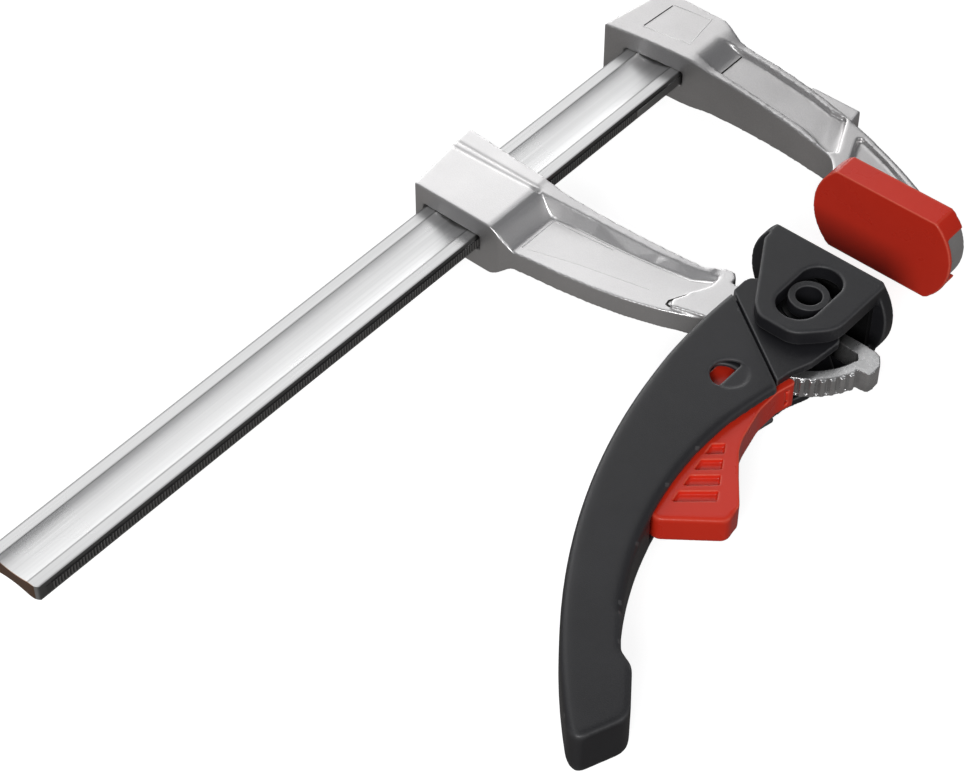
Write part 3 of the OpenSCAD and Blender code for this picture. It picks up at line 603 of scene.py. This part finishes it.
def makeSlidingArm(look):
    piece = mergedCopy("sliding_arm", "slidingArmCasting")
    top = look["top"]
    rings = []
    for x, inner, height, foot, low, floor in look["flange"]:
        rings.append([fromRail(x, inner, height), fromRail(x, inner + look["lean"], top),
                      fromRail(x, low, top), fromRail(x, low, floor), fromRail(x, foot, floor)])
    cutBothSides(piece, "flangeCut", rings)
    groove = [fromRail(*place) for place in look["bossGroove"]]
    for side in (groove, mirrored(groove)):
        cutWith(piece, tube("bossGroove", side, look["grooveRadius"]))
    soften(piece, look)
    addLines(piece, look, castAlloy)
    dress(piece, "sliding_arm", "arm_body")


jawShape = {
    "voxel": 0.00038, "rounds": 9, "smoothAngle": 50, "draft": 0.35, "top": 12.0,
    # floor corners of the long pocket's far end
    "pocket": [(55, 18.2, 4.04), (60.5, 15.9, 3.72), (66.6, 15.0, 3.6), (60.0, 29.0, 3.72), (55, 28.4, 4.04)],
    "lines": {
        # near-white rods are painted highlights along small steps
        "brightLine": {"radius": 0.38, "finish": highlightLineFinish,
                       "points": [(23, 31.9, 6.0), (36, 32.3, 5.2), (48.5, 31.5, 4.5), (60.0, 29.6, 3.85),
                                  (67.0, 14.7, 3.7)]},
        "smallLine": {"radius": 0.36, "finish": highlightLineFinish,
                      "points": [(68.2, 27.4, 3.5), (79, 23.6, 3.5), (89.8, 19.0, 3.5)]},
        "frameLine": {"radius": 0.16, "finish": highlightLineFinish,
                      "points": [(-6.5, 33.9, 8.84), (6.3, 35.6, 8.84), (8.2, 22.5, 8.84),
                                 (-7.5, 20.1, 8.84)]},
        # near-black rods paint the shade at the frame's edge and at the ramp's step
        "frameDark": {"radius": 0.22, "finish": shadeLineFinish,
                      "points": [(-7.4, 20.6, 8.82), (-6.6, 33.4, 8.82)]},
        "rampLine": {"radius": 0.30, "finish": shadeLineFinish,
                     "points": [(21.2, 19.0, 5.65), (21.2, 31.6, 5.65)]},
    },
}


def leaningWalls(corners, look):
    # the walls lean outwards from the floor
    middle = Vector((sum(c[0] for c in corners), sum(c[1] for c in corners), 0)) / len(corners)
    floor = [fromRail(*corner) for corner in corners]
    rim = []
    for x, y, z in corners:
        step = (Vector((x, y, 0)) - middle).normalized() * look["draft"]
        rim.append(fromRail(x + step.x, y + step.y, look["top"]))
    return [floor, rim]


def makeFixedJaw(look):
    piece = mergedCopy("fixed_jaw", "fixedJawCasting")
    cutBothSides(piece, "pocket", leaningWalls(look["pocket"], look))
    soften(piece, look)
    addLines(piece, look, castAlloyDull)
    dress(piece, "fixed_jaw", "frame_body")


gripShape = {
    "voxel": 0.00042, "rounds": 5, "roundFrom": 41, "roundOver": 8, "moreRounds": 45,
    "hole": (-0.9, -33.2), "tabRadius": 5.15, "tabLow": 5.9, "tabHigh": 6.9,
}


def makeLeverGrip(look):
    # a half disc on each side closes half of the peep hole
    piece = mergedCopy("lever_grip", "leverGripBlack")
    tabs = []
    for side in (-1, 1):
        deselectAll()
        place = fromPivot(*look["hole"], side * (look["tabLow"] + look["tabHigh"]) / 2)
        bpy.ops.mesh.primitive_cylinder_add(vertices=48, radius=look["tabRadius"] / 1000, location=place,
                                            depth=(look["tabHigh"] - look["tabLow"]) / 1000)
        tab = bpy.context.object
        bpy.ops.object.transform_apply(location=True, rotation=True, scale=True)
        bpy.ops.object.mode_set(mode="EDIT")
        bpy.ops.mesh.select_all(action="SELECT")
        bpy.ops.mesh.bisect(plane_co=place, plane_no=(1, 0, 0), use_fill=True, clear_inner=True)
        bpy.ops.object.mode_set(mode="OBJECT")
        tabs.append(tab)
    joinInto(piece, tabs)
    soften(piece, look)

    def share(place):
        # nothing near the seam, all of it along the handle
        reach = math.hypot(place.x - pivotPlace[0], place.y - pivotPlace[1]) * 1000
        return max(0.0, min(1.0, (reach - look["roundFrom"]) / look["roundOver"]))

    softenFurther(piece, look["moreRounds"], share)
    dress(piece, "lever_grip", "lever_body", blackNylon)


pawlShape = {"cutPlace": (10.9, -24, 0), "cutWay": (0.97, -0.25, 0)}


def makePawl(look):
    # the pawl's heel is trimmed flush inside the trigger
    piece = mergedCopy("pawl", "pawlTeeth")
    makeActive(piece)
    bpy.ops.object.mode_set(mode="EDIT")
    bpy.ops.mesh.select_all(action="SELECT")
    bpy.ops.mesh.bisect(plane_co=fromPivot(*look["cutPlace"]), plane_no=look["cutWay"],
                        use_fill=True, clear_outer=True)
    bpy.ops.object.mode_set(mode="OBJECT")
    dress(piece, "pawl", "trigger_body", hardSteel)


triggerShape = {
    "voxel": 0.00026, "rounds": 9, "plug": (10.7, -25.0, 0.0), "plugSize": (1.6, 3.2, 3.4), "plugTurn": -14.5,
    "blockWay": (0.685, -0.728), "roundFrom": 66.5, "roundOver": 2, "moreRounds": 70,
}


def makeTrigger(look):
    # a plug closes the pawl's slot behind the block's front skin
    piece = mergedCopy("trigger", "triggerRed")
    deselectAll()
    bpy.ops.mesh.primitive_cube_add(size=1, location=fromPivot(*look["plug"]))
    plug = bpy.context.object
    plug.scale = [length / 1000 for length in look["plugSize"]]
    plug.rotation_euler = (0, 0, math.radians(look["plugTurn"]))
    bpy.ops.object.transform_apply(location=True, rotation=True, scale=True)
    joinInto(piece, [plug])
    soften(piece, look)

    def share(place):
        # the thumb block at the foot is rounder than the rest
        x = (place.x - pivotPlace[0]) * 1000
        y = (place.y - pivotPlace[1]) * 1000
        along = look["blockWay"][0] * x + look["blockWay"][1] * y
        return max(0.0, min(1.0, (along - look["roundFrom"]) / look["roundOver"]))

    softenFurther(piece, look["moreRounds"], share)
    dress(piece, "trigger", "trigger_body", redPlastic)


# pieces that are rounded and nothing more
softPieces = {
    "jaw_cap": {"name": "jawCapRed", "body": "frame_body", "slot": "red_plastic", "finish": redPlastic,
                "voxel": 0.0003, "rounds": 8},
    "toothed_sector": {"name": "ratchetSector", "body": "arm_body", "slot": "hard_steel",
                       "finish": sectorSteel, "voxel": 0.0002, "rounds": 4},
    "pivot_sleeve": {"name": "pivotSleeveBlack", "body": "arm_body", "slot": "black_plastic",
                     "finish": blackNylon, "voxel": 0.0002, "rounds": 3},
    "pressure_cap": {"name": "pressureCapBlack", "body": "cap_body", "slot": "black_plastic",
                     "finish": blackNylon, "voxel": 0.0003, "rounds": 14},
    "lever_head": {"name": "leverHeadBlack", "body": "lever_body", "slot": "black_plastic",
                   "finish": blackNylon, "voxel": 0.0003, "rounds": 3},
}
makeRail(railShape)
makeSlidingArm(armShape)
makeFixedJaw(jawShape)
makeLeverGrip(gripShape)
makePawl(pawlShape)
makeTrigger(triggerShape)
for node, look in softPieces.items():
    piece = mergedCopy(node, look["name"])
    soften(piece, look)
    dress(piece, node, look["body"], look["finish"])
print("clamp: moulded and cast pieces made")

# CAD pieces that stay as they are and only get a finish
plainNodes = {
    "jaw_dowels": hardSteel, "grip_pins": hardSteel, "sector_rivets": hardSteel, "pivot_washers": darkSteel,
    "pressure_plate": darkSteel, "trigger_pin": hardSteel, "pawl_pin": hardSteel, "trigger_spring": hardSteel,
}
for node, material in plainNodes.items():
    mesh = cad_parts[node].data
    mesh.materials.clear()
    mesh.materials.append(material)
print("clamp: pieces dressed")


stageLook = {
    "size": 6, "floorZ": -0.0138, "bounce": (0.11, 0.10, 0.092), "rough": 0.9,
    "shadowPart": 0.42, "glow": 0.86, "glossyShare": 0.10,
}


def makeStage(look):
    deselectAll()
    bpy.ops.mesh.primitive_plane_add(size=look["size"], location=(0, 0, look["floorZ"]))
    floor = bpy.context.object
    floor.name = "floor"
    bpy.ops.object.transform_apply(location=True, rotation=True, scale=True)
    material, tree, shader = newMaterial("floorWhite")
    shader.inputs["Base Color"].default_value = (*look["bounce"], 1)
    shader.inputs["Roughness"].default_value = look["rough"]
    shader.inputs["Specular IOR Level"].default_value = 0.0
    # the camera sees a white floor that still darkens a little in the clamp's shadow
    pale = addNode(tree, "ShaderNodeBsdfDiffuse", -200, 100)
    pale.inputs["Color"].default_value = (look["shadowPart"],) * 3 + (1,)
    glow = addNode(tree, "ShaderNodeEmission", -200, 300)
    glow.inputs["Color"].default_value = (1, 1, 1, 1)
    glow.inputs["Strength"].default_value = look["glow"]
    white = addNode(tree, "ShaderNodeAddShader", 0, 200)
    tree.links.new(pale.outputs[0], white.inputs[0])
    tree.links.new(glow.outputs[0], white.inputs[1])
    path = addNode(tree, "ShaderNodeLightPath", -800, 400)
    glossy = mathNode(tree, "MULTIPLY", -600, 300, path.outputs["Is Glossy Ray"], look["glossyShare"])
    seen = mathNode(tree, "MAXIMUM", -400, 400, path.outputs["Is Camera Ray"], glossy)
    seen = mathNode(tree, "MAXIMUM", -200, 500, seen, path.outputs["Is Transmission Ray"])
    mix = addNode(tree, "ShaderNodeMixShader", 200, 300)
    tree.links.new(seen, mix.inputs[0])
    tree.links.new(shader.outputs[0], mix.inputs[1])
    tree.links.new(white.outputs[0], mix.inputs[2])
    tree.links.new(mix.outputs[0], tree.nodes["Material Output"].inputs["Surface"])
    floor.data.materials.append(material)


worldLook = {"light": (0.13, 0.132, 0.138), "seen": 1.0}


def makeWorld(look):
    # a dim room lights the clamp, and the camera sees white
    world = bpy.data.worlds.new("studio")
    bpy.context.scene.world = world
    world.use_nodes = True
    tree = world.node_tree
    room = tree.nodes["Background"]
    room.inputs["Color"].default_value = (*look["light"], 1)
    white = addNode(tree, "ShaderNodeBackground", 0, -200)
    white.inputs["Color"].default_value = (1, 1, 1, 1)
    white.inputs["Strength"].default_value = look["seen"]
    path = addNode(tree, "ShaderNodeLightPath", -600, 200)
    camera = path.outputs["Is Camera Ray"]
    seen = mathNode(tree, "MAXIMUM", -400, 200, camera, path.outputs["Is Transmission Ray"])
    mix = addNode(tree, "ShaderNodeMixShader", 200, 0)
    tree.links.new(seen, mix.inputs[0])
    tree.links.new(room.outputs[0], mix.inputs[1])
    tree.links.new(white.outputs[0], mix.inputs[2])
    tree.links.new(mix.outputs[0], tree.nodes["World Output"].inputs["Surface"])


lampTarget = (0, -0.1, 0)
lampLooks = {
    "keyLamp": {"place": (-1.10, 0.5, 0.90), "size": (1.6, 1.6), "power": 9.2},
    "frontLamp": {"place": (0.45, -1.05, 0.75), "size": (0.4, 0.4), "power": 9.0},
    "rimLamp": {"place": (-1.15, 0.85, 0.24), "size": (1.5, 0.3), "power": 5.0},
    "sideLamp": {"place": (0.9, 0.1, 0.6), "size": (0.4, 0.4), "power": 1.2},
}


def makeLamp(name, look):
    data = bpy.data.lights.new(name, "AREA")
    data.shape = "RECTANGLE"
    data.size, data.size_y = look["size"]
    data.energy = look["power"]
    lamp = bpy.data.objects.new(name, data)
    bpy.context.scene.collection.objects.link(lamp)
    lamp.location = look["place"]
    aim = Vector(lampTarget) - Vector(look["place"])
    lamp.rotation_euler = aim.to_track_quat("-Z", "Y").to_euler()


cameraLook = {
    "place": (0.25837, -0.47087, 0.49809), "azimuth": 40.521, "elevation": 46.897,
    "focalPixels": 2609.2, "widthPixels": 970, "sensor": 36.0, "clip": (0.01, 20),
}


def makeCamera(look):
    data = bpy.data.cameras.new("camera")
    data.sensor_fit = "HORIZONTAL"
    data.sensor_width = look["sensor"]
    data.lens = look["sensor"] * look["focalPixels"] / look["widthPixels"]
    data.clip_start, data.clip_end = look["clip"]
    camera = bpy.data.objects.new("camera", data)
    bpy.context.scene.collection.objects.link(camera)
    camera.location = look["place"]
    azimuth = math.radians(look["azimuth"])
    elevation = math.radians(look["elevation"])
    level = math.cos(elevation)
    back = Vector((math.sin(azimuth) * level, -math.cos(azimuth) * level, math.sin(elevation)))
    camera.rotation_euler = back.to_track_quat("Z", "Y").to_euler()
    bpy.context.scene.camera = camera


makeStage(stageLook)
makeWorld(worldLook)
for name, look in lampLooks.items():
    makeLamp(name, look)
makeCamera(cameraLook)
bpy.context.scene.view_settings.view_transform = "Standard"
print("clamp: stage, lamps and camera placed")
